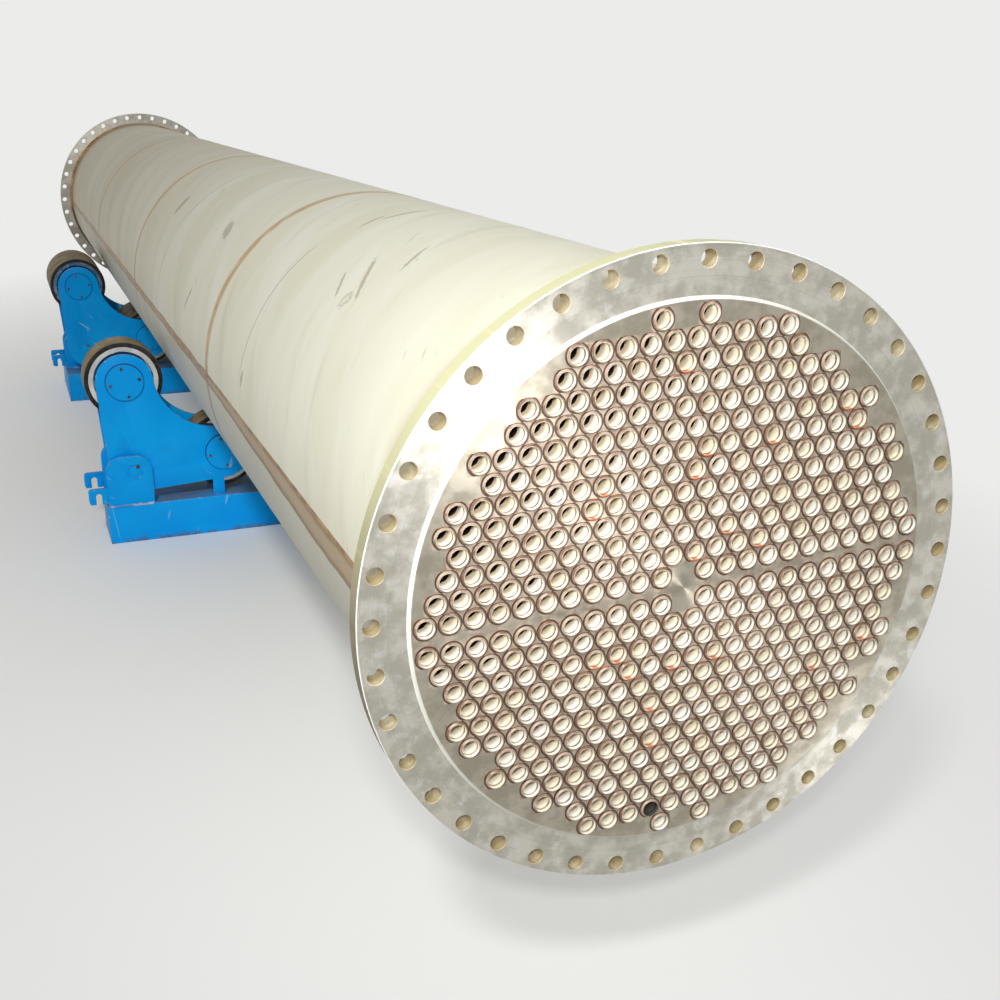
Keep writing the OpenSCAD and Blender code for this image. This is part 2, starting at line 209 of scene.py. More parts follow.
def new_group(name, inputs, outputs=("Mask",), places=()):
    """A shader node group: float inputs, float outputs and places. Returns its tree, inputs and outputs."""
    tree = bpy.data.node_groups.new(name, "ShaderNodeTree")
    for label, value in inputs.items():
        tree.interface.new_socket(label, in_out="INPUT", socket_type="NodeSocketFloat").default_value = value
    for label in outputs:
        tree.interface.new_socket(label, in_out="OUTPUT", socket_type="NodeSocketFloat")
    for label in places:
        tree.interface.new_socket(label, in_out="OUTPUT", socket_type="NodeSocketVector")
    return tree, tree.nodes.new("NodeGroupInput").outputs, tree.nodes.new("NodeGroupOutput").inputs


def give(tree, gives, **outputs):
    """Joins worked-out values to a group's outputs."""
    for label, output in outputs.items():
        tree.links.new(output, gives[label])


def use_group(tree, group, **inputs):
    """Places a node group in a material with its own values."""
    labelled = {name.capitalize(): value for name, value in inputs.items()}
    return add(tree, "ShaderNodeGroup", labelled, node_tree=group).outputs


def mask_of(tree, group, **inputs):
    """The mask of a node group that is placed with its own values."""
    return use_group(tree, group, **inputs)["Mask"]


def new_material(name, **constants):
    """A material with one Principled shader. Values that are the same all over go on its own sockets."""
    material = bpy.data.materials.new(name)
    material.use_nodes = True
    shader = material.node_tree.nodes["Principled BSDF"]
    for socket, value in constants.items():
        shader.inputs[socket.replace("_", " ")].default_value = value
    return material, material.node_tree, shader


def feed(tree, shader, **outputs):
    """Joins worked-out colours, values and normals to the shader."""
    for socket, output in outputs.items():
        tree.links.new(output, shader.inputs[socket.replace("_", " ")])


def bumps(tree, height, distance, strength):
    """A normal that is raised by a height map, in metres."""
    made = add(tree, "ShaderNodeBump", {"Height": height, "Distance": distance, "Strength": strength})
    return made.outputs["Normal"]


# Patches are cloudy stains: one noise on the object's own coordinates, cut to a mask
patches, given, gives = new_group("patches", {"Scale": 8.0, "Low": 0.45, "High": 0.65})
cloud = noise(patches, own_place(patches), given["Scale"], 5.0, Roughness=0.62)
give(patches, gives, Mask=fade(patches, cloud, given["Low"], given["High"]))


def patchy(tree, scale, low=0.45, high=0.65):
    """The mask of the patches, at a scale and between two levels of their noise."""
    return mask_of(tree, patches, scale=scale, low=low, high=high)


# Scratches are thin straight lines in three directions, and only here and there
SCRATCH_TURNS = ((0.0, 0.15, 0.1), (0.1, -0.2, 0.3), (0.2, 0.9, 1.2))
SCRATCH_DRAW = (1.0, 1.0, 0.02)
scratches, given, gives = new_group("scratches", {"Scale": 60.0, "Share": 0.72, "Cover": 0.6})
place = own_place(scratches)
lines = []
for turn in SCRATCH_TURNS:
    turned_place = add(scratches, "ShaderNodeVectorRotate", {"Vector": place, "Rotation": turn},
                       rotation_type="EULER_XYZ").outputs[0]
    drawn = vector_calc(scratches, "MULTIPLY", turned_place, SCRATCH_DRAW)
    streak = noise(scratches, drawn, given["Scale"], 0.0)
    where = noise(scratches, turned_place, 5.0, 1.0)
    lines.append(times(scratches, past(scratches, streak, given["Share"], 0.04),
                       past(scratches, where, given["Cover"], 0.05)))
give(scratches, gives, Mask=widest(scratches, lines))

# Chipped edges: paint or polish that has gone from the rounded edges, broken up by a fine noise
chips, given, gives = new_group("chipped_edges", {"Scale": 90.0, "Bare": 0.5})
rounded = add(chips, "ShaderNodeAttribute", attribute_name="worn").outputs["Fac"]
broken = noise(chips, own_place(chips), given["Scale"], 4.0)
give(chips, gives, Mask=times(chips, rounded, past(chips, broken, given["Bare"], 0.06)))

# Dust lies on what faces up, thicker in patches
dust, given, gives = new_group("dust", {"Amount": 0.5})
thick = plus(dust, times(dust, patchy(dust, 14.0, 0.3, 0.75), 0.7), 0.3)
laid = times(dust, fade(dust, facing(dust, "Z"), *dust_span), thick)
give(dust, gives, Mask=calc(dust, "MULTIPLY", laid, given["Amount"], clamp=True))

# Azure enamel with brushed-on unevenness, a few pale scratches, dust on top and rust where it is chipped
stand_blue, tree, shader = new_material("azure_enamel", Specular_IOR_Level=0.14)
place = own_place(tree)
grime = patchy(tree, 17.0, 0.6, 0.85)
low_down = times(tree, fade(tree, part(tree, place, "Z"), splash_height, 0.0), patchy(tree, 38.0, 0.40, 0.56))
bare_steel = tint(tree, patchy(tree, 90.0, 0.45, 0.6), colour(184, 196, 212), colour(96, 60, 42))
blue = tint(tree, patchy(tree, 4.0, 0.3, 0.75), colour(0, 160, 246), colour(0, 178, 255))
blue = stained(tree, blue,
               (mask_of(tree, scratches, scale=110.0, share=0.76, cover=0.58), colour(176, 214, 240), 0.45),
               (grime, colour(30, 74, 112), 0.3),
               (low_down, colour(96, 70, 52), 0.6),
               (mask_of(tree, dust, amount=0.9), colour(128, 120, 106), 1.0),
               (mask_of(tree, chips, scale=55.0, bare=0.56), bare_steel, 1.0))
feed(tree, shader, Base_Color=blue,
     Roughness=plus(tree, times(tree, grime, 0.25), 0.34),
     Normal=bumps(tree, noise(tree, place, 160.0, 2.0), 0.0006, 0.25))

for stand in STANDS:
    plates = [stand + "_base", stand + "_ears", stand + "_hooks"]
    plates += [f"{stand}_{side}_rocker" for side in SIDES]
    for node in plates:
        bm = broken_edges(node, plate_edge)
        piece = add_piece(bm, node + "_painted", "stands", stand_blue)
        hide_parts(node)


# Ear welds
# Each ear is welded to the base along both of its feet. The rippled beads show pale through the paint.
ear_width = 0.132
ear_plate = 0.012
bead_r = 0.0042
bead_ripple = 0.0005
bead_step = 0.003
bead_segments = 10
spin_merge = 0.000002


def turned(outline, middle, segments, axis=Vector((0, 1, 0)), side=Vector((0, 0, 1)), closed=True):
    """Spins an outline of (radius, place along the axis) pairs into a solid. An open one ends on the axis."""
    bm = bmesh.new()
    verts = [bm.verts.new(middle + side * radius + axis * along) for radius, along in outline]
    edges = [bm.edges.new((verts[i - 1], verts[i])) for i in range(0 if closed else 1, len(verts))]
    bmesh.ops.spin(bm, geom=verts + edges, cent=middle, axis=axis, angle=math.tau, steps=segments,
                   use_merge=True, use_duplicate=False)
    bmesh.ops.remove_doubles(bm, verts=bm.verts, dist=spin_merge)
    bmesh.ops.recalc_face_normals(bm, faces=bm.faces)
    return bm


def as_mesh(bm, name):
    """A plain mesh from a bmesh, to be placed many times."""
    mesh = bpy.data.meshes.new(name)
    bm.to_mesh(mesh)
    bm.free()
    return mesh


def put(bm, mesh, matrix):
    """Adds a copy of a mesh to a bmesh, moved by a matrix."""
    mesh.transform(matrix)
    bm.from_mesh(mesh)
    mesh.transform(matrix.inverted())


painted_weld, tree, shader = new_material("painted_weld", Roughness=0.4)
bead_blue = tint(tree, patchy(tree, 40.0, 0.4, 0.6), colour(70, 150, 214), colour(176, 200, 226))
feed(tree, shader, Base_Color=bead_blue)

bead_count = int(ear_width / bead_step)
outline = [(0, -ear_width / 2)]
outline += [(bead_r + bead_ripple * (i % 2), (i - bead_count / 2) * bead_step) for i in range(1, bead_count)]
outline += [(0, ear_width / 2)]
bead = turned(outline, Vector((0, 0, 0)), bead_segments, axis=Vector((1, 0, 0)), closed=False)
bead = as_mesh(bead, "bead")
for stand in STANDS:
    low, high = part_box(stand + "_ears")
    bm = bmesh.new()
    for x in (high.x - ear_width / 2, ear_width / 2 - high.x):
        for y in (low.y, low.y + ear_plate, high.y - ear_plate, high.y):
            put(bm, bead, Matrix.Translation((x, y, low.z)))
    add_piece(bm, stand + "_ear_welds", "stands", painted_weld)
bpy.data.meshes.remove(bead)


# Pivot pins and axles
# The rockers tilt on turned steel pins through the ears, and each roller turns on a plain axle pressed into
# the cheek plates. The pins are painted over with the stand, and a small bolt keeps each from turning.
pin_r = 0.020
pin_out = 0.003
pin_edge = 0.0012
keeper_r = 0.0062
keeper_height = 0.004
keeper_sides = 6
keeper_place = Vector((0.0085, 0, 0.0170))
FACE_TURNS = ((-1, math.pi / 2), (1, -math.pi / 2))

pin_steel, tree, shader = new_material("machined_pin", Metallic=0.9)
grey = tint(tree, patchy(tree, 30.0, 0.4, 0.7), colour(150, 148, 142), colour(192, 190, 184))
feed(tree, shader, Base_Color=grey, Roughness=plus(tree, times(tree, patchy(tree, 60.0), 0.15), 0.3))

rusty_steel, tree, shader = new_material("rusty_screw", Metallic=0.4, Roughness=0.6)
brown = tint(tree, patchy(tree, 60.0, 0.35, 0.6), colour(24, 32, 46), colour(112, 98, 84))
feed(tree, shader, Base_Color=brown)


def head_mesh(radius, height, sides):
    """A screw head that stands on the origin along +Z, with a broken upper edge."""
    bm = bmesh.new()
    bmesh.ops.create_cone(bm, cap_ends=True, segments=sides, radius1=radius, radius2=radius, depth=height,
                          matrix=Matrix.Translation((0, 0, height / 2)))
    upper = [e for e in bm.edges if all(v.co.z > height / 2 for v in e.verts)]
    bmesh.ops.bevel(bm, geom=upper, offset=height / 5, offset_type="OFFSET", segments=1, profile=0.5,
                    affect="EDGES", material=-1)
    return as_mesh(bm, "head")


keeper = head_mesh(keeper_r, keeper_height, keeper_sides)
for stand in STANDS:
    for kind, paint in (("pivots", stand_blue), ("axles", pin_steel)):
        node = f"{stand}_{kind}"
        piece = add_piece(broken_edges(node, pin_edge), node + "_turned", "stands", paint)
        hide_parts(node)
    low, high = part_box(stand + "_pivots")
    bm = bmesh.new()
    for side in (-1, 1):
        for face, turn in FACE_TURNS:
            y = low.y + pin_out if face < 0 else high.y - pin_out
            centre = Vector((side * (high.x - pin_r), y, (low.z + high.z) / 2)) + keeper_place
            put(bm, keeper, Matrix.Translation(centre) @ Matrix.Rotation(turn, 4, "X"))
    add_piece(bm, stand + "_keeper_bolts", "stands", rusty_steel)
bpy.data.meshes.remove(keeper)


# Bearing covers
# A round painted plate closes each end of every axle and is held by four small screws. It sits on a dark ring
# a little wider than itself, which is painted shadow for the groove round the cover.
cover_r = 0.053
cover_plate = 0.008
cover_edge = 0.0012
cover_foot = 0.0004
cover_segments = 64
gasket = 0.0014
gasket_out = 0.0022
gasket_segments = 48
screw_ring = 0.79 * cover_r
screw_r = 0.0046
screw_height = 0.0028
screw_sides = 12
screw_turn = math.radians(10)
PLACES = ("outer", "inner")

# The ring under each cover is painted dark blue: painted shadow of the groove round the cover
gasket_black, tree, shader = new_material("cover_shadow_ring", Roughness=0.8)
dark_blue = tint(tree, patchy(tree, 50.0), colour(4, 44, 92), colour(10, 70, 130))
feed(tree, shader, Base_Color=dark_blue)


def disc_mesh(outline, segments, name):
    """A disc that stands on the origin along +Z, spun from an outline that ends on the axis."""
    return as_mesh(turned(outline, Vector((0, 0, 0)), segments, axis=Vector((0, 0, 1)),
                          side=Vector((1, 0, 0)), closed=False), name)


plate = disc_mesh([(0, gasket), (cover_r - cover_foot, gasket), (cover_r, gasket + cover_foot),
                   (cover_r, cover_plate - cover_edge), (cover_r - cover_edge, cover_plate),
                   (0, cover_plate)], cover_segments, "plate")
seal = disc_mesh([(0, 0), (cover_r + gasket_out, 0), (cover_r + gasket_out, gasket), (0, gasket)],
                 gasket_segments, "seal")
screw = head_mesh(screw_r, screw_height, screw_sides)
for stand in STANDS:
    low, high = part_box(stand + "_covers")
    plates, seals, screws = bmesh.new(), bmesh.new(), bmesh.new()
    for tyre in [f"{stand}_{side}_{place}_tyre" for side in SIDES for place in PLACES]:
        tyre_low, tyre_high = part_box(tyre)
        middle = (tyre_low + tyre_high) / 2
        for face, turn in FACE_TURNS:
            y = low.y + cover_plate if face < 0 else high.y - cover_plate
            seat = Matrix.Translation((middle.x, y, middle.z)) @ Matrix.Rotation(turn, 4, "X")
            put(plates, plate, seat)
            put(seals, seal, seat)
            for quarter in range(4):
                angle = screw_turn + quarter * math.pi / 2
                spot = (middle.x + screw_ring * math.cos(angle), y + face * cover_plate,
                        middle.z + screw_ring * math.sin(angle))
                put(screws, screw, Matrix.Translation(spot) @ Matrix.Rotation(turn, 4, "X"))
    piece = add_piece(plates, stand + "_covers_painted", "stands", stand_blue)
    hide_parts(stand + "_covers")
    add_piece(seals, stand + "_cover_shadow_rings", "stands", gasket_black)
    add_piece(screws, stand + "_cover_screws", "stands", rusty_steel)
for mesh in (plate, seal, screw):
    bpy.data.meshes.remove(mesh)


# Rollers
# Each roller is a turned steel hub, dished on both faces, with a hard rubber tyre bonded on. The tyre has
# rounded shoulders and a worn, dusty tread, and the hub's rim is polished by handling.
roller_segments = 96
hub_rim = 0.013
hub_edge = 0.001
hub_foot = 0.002
boss_wall = 0.016
run_fit = 0.0003
disc_half = 0.030
shoulder = 0.005
shoulder_steps = 4
side_span = (0.3, 0.75)


def rounded_shoulder(radius, half, size):
    """Quarter-round from the tread to the side of a tyre, as (radius, along) pairs."""
    turns = [i * math.pi / 2 / shoulder_steps for i in range(shoulder_steps + 1)]
    return [(radius - size + size * math.cos(t), half - size + size * math.sin(t)) for t in turns]


hub_steel, tree, shader = new_material("turned_hub", Metallic=1.0)
grey = tint(tree, patchy(tree, 22.0, 0.4, 0.7), colour(186, 187, 189), colour(210, 211, 212))
grey = tint(tree, patchy(tree, 45.0, 0.6, 0.72), grey, colour(120, 100, 80), 0.35)
feed(tree, shader, Base_Color=grey, Roughness=plus(tree, times(tree, patchy(tree, 50.0), 0.08), 0.12))

tyre_rubber, tree, shader = new_material("tyre_rubber", Specular_IOR_Level=0.3, Roughness=0.7)
rubber = tint(tree, patchy(tree, 16.0, 0.35, 0.7), colour(120, 104, 76), colour(168, 152, 116))
side_black = tint(tree, patchy(tree, 30.0), colour(26, 25, 24), colour(52, 50, 46))
on_side = fade(tree, calc(tree, "ABSOLUTE", facing(tree, "Y")), *side_span)
rubber = stained(tree, rubber,
                 (patchy(tree, 60.0, 0.55, 0.7), colour(70, 62, 46), 0.5),
                 (on_side, side_black, 1.0))
grain = noise(tree, own_place(tree), 240.0, 3.0)
feed(tree, shader, Base_Color=rubber, Normal=bumps(tree, grain, 0.0006, 0.5))

for roller in [f"{stand}_{side}_{place}" for stand in STANDS for side in SIDES for place in PLACES]:
    low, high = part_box(roller + "_tyre")
    middle = (low + high) / 2
    half = (high.y - low.y) / 2
    tread_r = (high.z - low.z) / 2
    low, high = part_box(roller + "_hub")
    hub_r = (high.z - low.z) / 2
    boss_r = pin_r + boss_wall
    outer = rounded_shoulder(tread_r, half, shoulder)
    outline = [(hub_r, -half)] + [(r, -y) for r, y in reversed(outer)] + outer + [(hub_r, half)]
    bm = turned(outline, middle, roller_segments)
    piece = add_piece(bm, roller + "_tyre_rubber", roller + "_roller", tyre_rubber)
    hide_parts(roller + "_tyre")
    face = [(hub_r, half), (hub_r - hub_rim, half), (hub_r - hub_rim - hub_edge, half - hub_edge),
            (hub_r - hub_rim - hub_foot, disc_half), (boss_r + hub_foot, disc_half),
            (boss_r, disc_half + hub_foot), (boss_r, half - hub_edge), (boss_r - hub_edge, half),
            (pin_r + run_fit, half)]
    outline = face + [(r, -y) for r, y in reversed(face)]
    bm = turned(outline, middle, roller_segments)
    piece = add_piece(bm, roller + "_hub_steel", roller + "_roller", hub_steel)
    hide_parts(roller + "_hub")


# Shell
# Four courses of stainless plate, rolled to one diameter, pickled to a matt cream and joined by flush welds.
# Each course has one long seam near the left side, and the vessel lies slightly turned.
vessel_turn = math.radians(3.7)
shell_segments = 240
low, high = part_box("shell_course_1")
shell_r = (high.x - low.x) / 2
axis_z = (low.z + high.z) / 2
shell_wall = 0.008
front_y, rear_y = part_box("shell_course_1")[0].y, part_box("shell_course_4")[1].y
vessel_axis = Vector((0, 0, axis_z))
courses = [f"shell_course_{i}" for i in range(1, 5)]
seams = [(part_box(first)[1].y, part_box(second)[0].y) for first, second in zip(courses, courses[1:])]


def minus(tree, first, second):
    """The difference of two numbers or outputs."""
    return calc(tree, "SUBTRACT", first, second)


def vector_of(tree, x, y=0.0):
    """A vector from one or two outputs."""
    return add(tree, "ShaderNodeCombineXYZ", {"X": x, "Y": y}).outputs[0]


def swung(tree, vector, angle):
    """A place on the plate, turned by an angle."""
    made = add(tree, "ShaderNodeVectorRotate", {"Vector": vector, "Angle": angle}, rotation_type="Z_AXIS")
    return made.outputs[0]


def band(tree, value, middle, half, softness):
    """A mask that is 1 within a distance of a line and fades out past it."""
    off = calc(tree, "ABSOLUTE", minus(tree, value, middle))
    return fade(tree, off, plus(tree, half, softness), half)


# Unrolled place on the vessel: metres along from the front, and metres around from the top to the left
unrolled, given, gives = new_group("unrolled", {"Axis height": axis_z, "Radius": shell_r, "Front": front_y},
                                   ("Along", "Around"), ("Place",))
spot = add(unrolled, "ShaderNodeSeparateXYZ", {0: own_place(unrolled)}).outputs
rise = minus(unrolled, spot["Z"], given["Axis height"])
turn = calc(unrolled, "ARCTAN2", times(unrolled, spot["X"], -1.0), rise)
around = times(unrolled, turn, given["Radius"])
along = minus(unrolled, spot["Y"], given["Front"])
give(unrolled, gives, Along=along, Around=around, Place=vector_of(unrolled, around, along))

# Wiping marks: long soft streaks across the plate, turned by an angle off the way round the vessel
WIPE_DRAW = (0.14, 1.0, 1.0)
wiped, given, gives = new_group("wiping_marks", {"Scale": 6.0, "Turn": 0.6, "Low": 0.5, "High": 0.65})
swung_place = swung(wiped, use_group(wiped, unrolled)["Place"], given["Turn"])
drawn = vector_calc(wiped, "MULTIPLY", swung_place, WIPE_DRAW)
streak = noise(wiped, drawn, given["Scale"], 5.0, Roughness=0.6)
give(wiped, gives, Mask=fade(wiped, streak, given["Low"], given["High"]))

# A mark is a soft oval at one place on the plate, which a fine noise breaks up
mark, given, gives = new_group("mark", {"Along": 1.0, "Around": 0.3, "Length": 0.03, "Width": 0.01,
                                        "Turn": 0.0, "Hollow": 0.0})
place = use_group(mark, unrolled)
off_place = vector_of(mark, minus(mark, place["Around"], given["Around"]),
                      minus(mark, place["Along"], given["Along"]))
moved = add(mark, "ShaderNodeSeparateXYZ", {0: swung(mark, off_place, given["Turn"])}).outputs
off = vector_calc(mark, "LENGTH", vector_of(mark, calc(mark, "DIVIDE", moved["X"], given["Length"]),
                                            calc(mark, "DIVIDE", moved["Y"], given["Width"])))
ragged = minus(mark, noise(mark, place["Place"], 90.0, 3.0), 0.5)
off = plus(mark, off, times(mark, ragged, 1.1))
core = times(mark, fade(mark, off, 0.75, 0.35), given["Hollow"])
give(mark, gives, Mask=calc(mark, "SUBTRACT", fade(mark, off, 1.0, 0.55), core, clamp=True))

# Pickled plate: wiped cream, with painted shade that makes it duller and browner towards the far end
dull_span = (0.9, 4.2)
shell_steel, tree, shader = new_material("pickled_shell", Metallic=0.12, Specular_IOR_Level=0.4)
seen_at = use_group(tree, unrolled)
along, around = seen_at["Along"], seen_at["Around"]
cream = tint(tree, mask_of(tree, wiped, scale=2.2, turn=0.2, low=0.35, high=0.65),
             colour(228, 224, 198), colour(240, 238, 218))
cream = stained(tree, cream,
                (mask_of(tree, wiped, scale=7.0, turn=0.75, low=0.48, high=0.68), colour(245, 244, 232), 0.4),
                (mask_of(tree, wiped, scale=12.0, turn=0.5, low=0.56, high=0.74), colour(186, 174, 142), 0.3),
                # Painted shade: duller and browner towards the far end
                (fade(tree, along, *dull_span), colour(172, 158, 124), 0.65))

# Fine scores in patches, and rubbed places
MARKS = (
    {"along": 0.622, "around": 0.287, "length": 0.020, "width": 0.020, "hollow": 0.8},
    {"along": 0.640, "around": 0.235, "length": 0.085, "width": 0.007, "turn": 0.9},
    {"along": 0.700, "around": 0.270, "length": 0.050, "width": 0.005, "turn": 0.9},
    {"along": 0.575, "around": 0.165, "length": 0.050, "width": 0.006, "turn": 0.6},
    {"along": 0.935, "around": 0.055, "length": 0.055, "width": 0.008},
    {"along": 0.955, "around": 0.115, "length": 0.040, "width": 0.006, "turn": 0.3},
    {"along": 1.655, "around": 0.290, "length": 0.055, "width": 0.022, "turn": 1.1},
    {"along": 2.350, "around": 0.295, "length": 0.045, "width": 0.028},
    {"along": 1.685, "around": 0.480, "length": 0.045, "width": 0.008, "turn": -0.6},
    {"along": 0.975, "around": 0.520, "length": 0.020, "width": 0.010})
score_lines = times(tree, mask_of(tree, wiped, scale=60.0, turn=0.8, low=0.63, high=0.7),
                    patchy(tree, 4.0, 0.52, 0.62))
marked = widest(tree, [mask_of(tree, mark, **values) for values in MARKS])
cream = stained(tree, cream, (score_lines, colour(148, 130, 98), 0.55), (marked, colour(122, 100, 66), 0.5))

# A scribed line round the left side of the first course, and two faint rings where supports have rubbed
scribed_along, scribed_half, scribed_fade = 0.996, 0.0010, 0.0022
scribed_around, scribed_reach, scribed_end = 0.37, 0.12, 0.05
rubbed_half, rubbed_fade = 0.002, 0.006
scribed = times(tree, band(tree, along, scribed_along, scribed_half, scribed_fade),
                band(tree, around, scribed_around, scribed_reach, scribed_end))
cream = tint(tree, scribed, cream, colour(118, 110, 92), 0.6)
for rubbed_along in (2.175, 4.03):
    ring = band(tree, along, rubbed_along, rubbed_half, rubbed_fade)
    rubbed = times(tree, ring, patchy(tree, 5.0, 0.35, 0.6))
    cream = tint(tree, rubbed, cream, colour(140, 128, 100), 0.4)

# Heat beside the girth welds, in patches
heat_half, heat_fade = 0.014, 0.010
for seam_start, seam_end in seams:
    ring = band(tree, along, (seam_start + seam_end) / 2 - front_y, heat_half, heat_fade)
    warm = times(tree, ring, patchy(tree, 22.0, 0.25, 0.5))
    cream = tint(tree, warm, cream, colour(194, 156, 98), 0.8)

# Heat and brushing along the long seam: a brown band with dark edges, widest near the front, and grey below.
# Near both ends the plate is browned by a painted shadow of the tubesheets.
seam_around = 0.604
near_span = (1.40, 0.25)
near_shift, near_extra = 0.016, 0.013
brown_half, brown_fade = 0.009, 0.006
brown_wander = 0.014
below_fade = 0.02
end_span = (0.16, 0.08)
near = fade(tree, along, *near_span)
band_middle = plus(tree, times(tree, near, near_shift), seam_around)
band_half = plus(tree, times(tree, near, near_extra), brown_half)
wander = times(tree, minus(tree, noise(tree, seen_at["Place"], 9.0, 4.0), 0.5), brown_wander)
below_band = minus(tree, plus(tree, around, wander), band_middle)
off_band = calc(tree, "ABSOLUTE", below_band)
brown = fade(tree, off_band, plus(tree, band_half, brown_fade), band_half)
brown_edge = times(tree, brown, fade(tree, off_band, times(tree, band_half, 0.4), band_half))
# Brown near both ends of the shell: painted shadow of the tubesheets
half_length = (rear_y - front_y) / 2
to_end = minus(tree, half_length, calc(tree, "ABSOLUTE", minus(tree, along, half_length)))
cream = stained(tree, cream,
                (fade(tree, below_band, 0.0, below_fade), colour(184, 180, 166), 0.5),
                (brown, colour(168, 138, 98), 0.8),
                (brown_edge, colour(122, 94, 60), 0.65),
                (fade(tree, to_end, *end_span), colour(146, 122, 84), 0.7))
satin = mask_of(tree, wiped, scale=9.0, turn=0.7, low=0.35, high=0.7)
feed(tree, shader, Base_Color=cream,
     Roughness=plus(tree, times(tree, satin, -0.12), 0.52),
     Normal=bumps(tree, noise(tree, seen_at["Place"], 220.0, 3.0), 0.0004, 0.2))

for node in courses:
    low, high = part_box(node)
    outline = [(shell_r, low.y), (shell_r, high.y),
               (shell_r - shell_wall, high.y), (shell_r - shell_wall, low.y)]
    bm = turned(outline, vessel_axis, shell_segments)
    piece = add_piece(bm, node + "_plate", "vessel", shell_steel)
    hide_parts(node)


# Seams
# The courses are joined by girth welds and closed by long welds, brushed nearly flush and left heat-tinted. A
# fillet weld runs round the shell at each tubesheet.
seam_rise = 0.0003
seam_toe = 0.00005
seam_width = 0.007
seam_depth = 0.002
seam_turns = [math.radians(a) for a in (179.5, 180.7, 179.5, 180.7)]
fillet_leg = 0.009
top_span = (0.25, 0.02)
left_span = (0.56, 0.68)

# The fillet's outline, in shares of its leg: out from the shell and along it
FILLET = ((0, 0), (1, 0), (0.62, 0.30), (0.30, 0.62), (0, 1))

weld_metal, tree, shader = new_material("brushed_weld", Metallic=0.35, Roughness=0.45)
around = use_group(tree, unrolled)["Around"]
gold = tint(tree, patchy(tree, 24.0, 0.35, 0.65), colour(146, 106, 62), colour(206, 164, 104))
gold = stained(tree, gold,
               (fade(tree, calc(tree, "ABSOLUTE", around), *top_span), colour(176, 164, 130), 1.0),
               (fade(tree, around, *left_span), colour(104, 76, 48), 1.0))
feed(tree, shader, Base_Color=gold)


def put_ring(bm, outline):
    """Adds a ring that is turned about the vessel's axis."""
    ring = as_mesh(turned(outline, vessel_axis, shell_segments), "ring")
    bm.from_mesh(ring)
    bpy.data.meshes.remove(ring)


bm = bmesh.new()
for seam_start, seam_end in seams:
    put_ring(bm, [(shell_r - shell_wall, seam_start), (shell_r, seam_start),
                  (shell_r + seam_rise, (seam_start + seam_end) / 2), (shell_r, seam_end),
                  (shell_r - shell_wall, seam_end)])
piece = add_piece(bm, "girth_seams", "vessel", weld_metal)
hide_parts("girth_welds")

bm = bmesh.new()
lean = seam_width / 2 / shell_r
corners = [(shell_r - seam_depth, -lean), (shell_r + seam_toe, -lean), (shell_r + seam_rise, 0),
           (shell_r + seam_toe, lean), (shell_r - seam_depth, lean)]
for node, turn in zip(courses, seam_turns):
    low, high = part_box(node)
    verts = [bm.verts.new((r * math.cos(turn + a), low.y, axis_z + r * math.sin(turn + a)))
             for r, a in corners]
    made = bmesh.ops.extrude_face_region(bm, geom=[bm.faces.new(verts)])["geom"]
    far = [g for g in made if isinstance(g, bmesh.types.BMVert)]
    bmesh.ops.translate(bm, vec=(0, high.y - low.y, 0), verts=far)
bmesh.ops.recalc_face_normals(bm, faces=bm.faces)
piece = add_piece(bm, "long_seams", "vessel", weld_metal)
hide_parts("long_welds")

bm = bmesh.new()
for y, out in ((front_y, 1), (rear_y, -1)):
    put_ring(bm, [(shell_r + fillet_leg * up, y + out * fillet_leg * on) for up, on in FILLET])
piece = add_piece(bm, "tubesheet_fillets", "vessel", weld_metal)
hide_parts("tubesheet_welds")


# Tubesheets
# A thick turned disc closes each end. It is a flange with forty bolt holes and a raised field in the middle,
# drilled for the tubes in rows on a triangle, with a wider lane between the two middle rows.
low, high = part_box("front_tubesheet")
flange_r = (high.x - low.x) / 2
field_y = low.y
back_y = high.y
field_rise = 0.006
field_r = 0.371
field_edge = 0.0008
flange_edge = 0.0012
back_edge = 0.001
bolt_ring_r = 0.417
bolt_count = 40
bolt_r = 0.011
bolt_edge = 0.0006
tube_r = 0.0127
tube_fit = 0.0003
tube_clear = 0.004
tube_pitch = 0.032
lane_width = 0.0394
row_step = tube_pitch * math.sqrt(3) / 2
tube_limit = shell_r - shell_wall - tube_r - tube_clear
free_spots = [(1, 0), (4, 10.5), (7, 9), (9, 8), (11, 6), (13, 0)]
disc_segments = 192
bolt_segments = 32
hole_segments = 20

# The field's step ends in a hollow foot: how far out and how high over the flange face it passes
STEP_FOOT = ((0.0004, 0.0040), (0.0012, 0.0022), (0.0022, 0.0008), (0.0036, 0.0))

# Places of the tubes in one half of the field: rows off the lane, every second one shifted by half a pitch
tube_spots = []
row_count = int((tube_limit - lane_width / 2) / row_step) + 1
for row in range(1, row_count + 1):
    rise = lane_width / 2 + (row - 1) * row_step
    shift = 0 if row % 2 else 0.5
    last = int(math.sqrt(tube_limit ** 2 - rise ** 2) / tube_pitch - shift)
    for k in range(-last - (1 if shift else 0), last + 1):
        if (row, abs(k + shift)) not in free_spots:
            tube_spots.append(((k + shift) * tube_pitch, rise))


def on_sheet(u, v, y):
    """A place on the vessel's cross-section, turned with the vessel."""
    cos, sin = math.cos(vessel_turn), math.sin(vessel_turn)
    return Vector((u * cos - v * sin, y, axis_z + u * sin + v * cos))


def circle_edges(bm, centre, radius, segments):
    """A circle that faces along the vessel, as its edges."""
    turn = Matrix.Translation(centre) @ Matrix.Rotation(math.pi / 2, 4, "X")
    verts = bmesh.ops.create_circle(bm, segments=segments, radius=radius, matrix=turn)["verts"]
    return list({e for v in verts for e in v.link_edges})


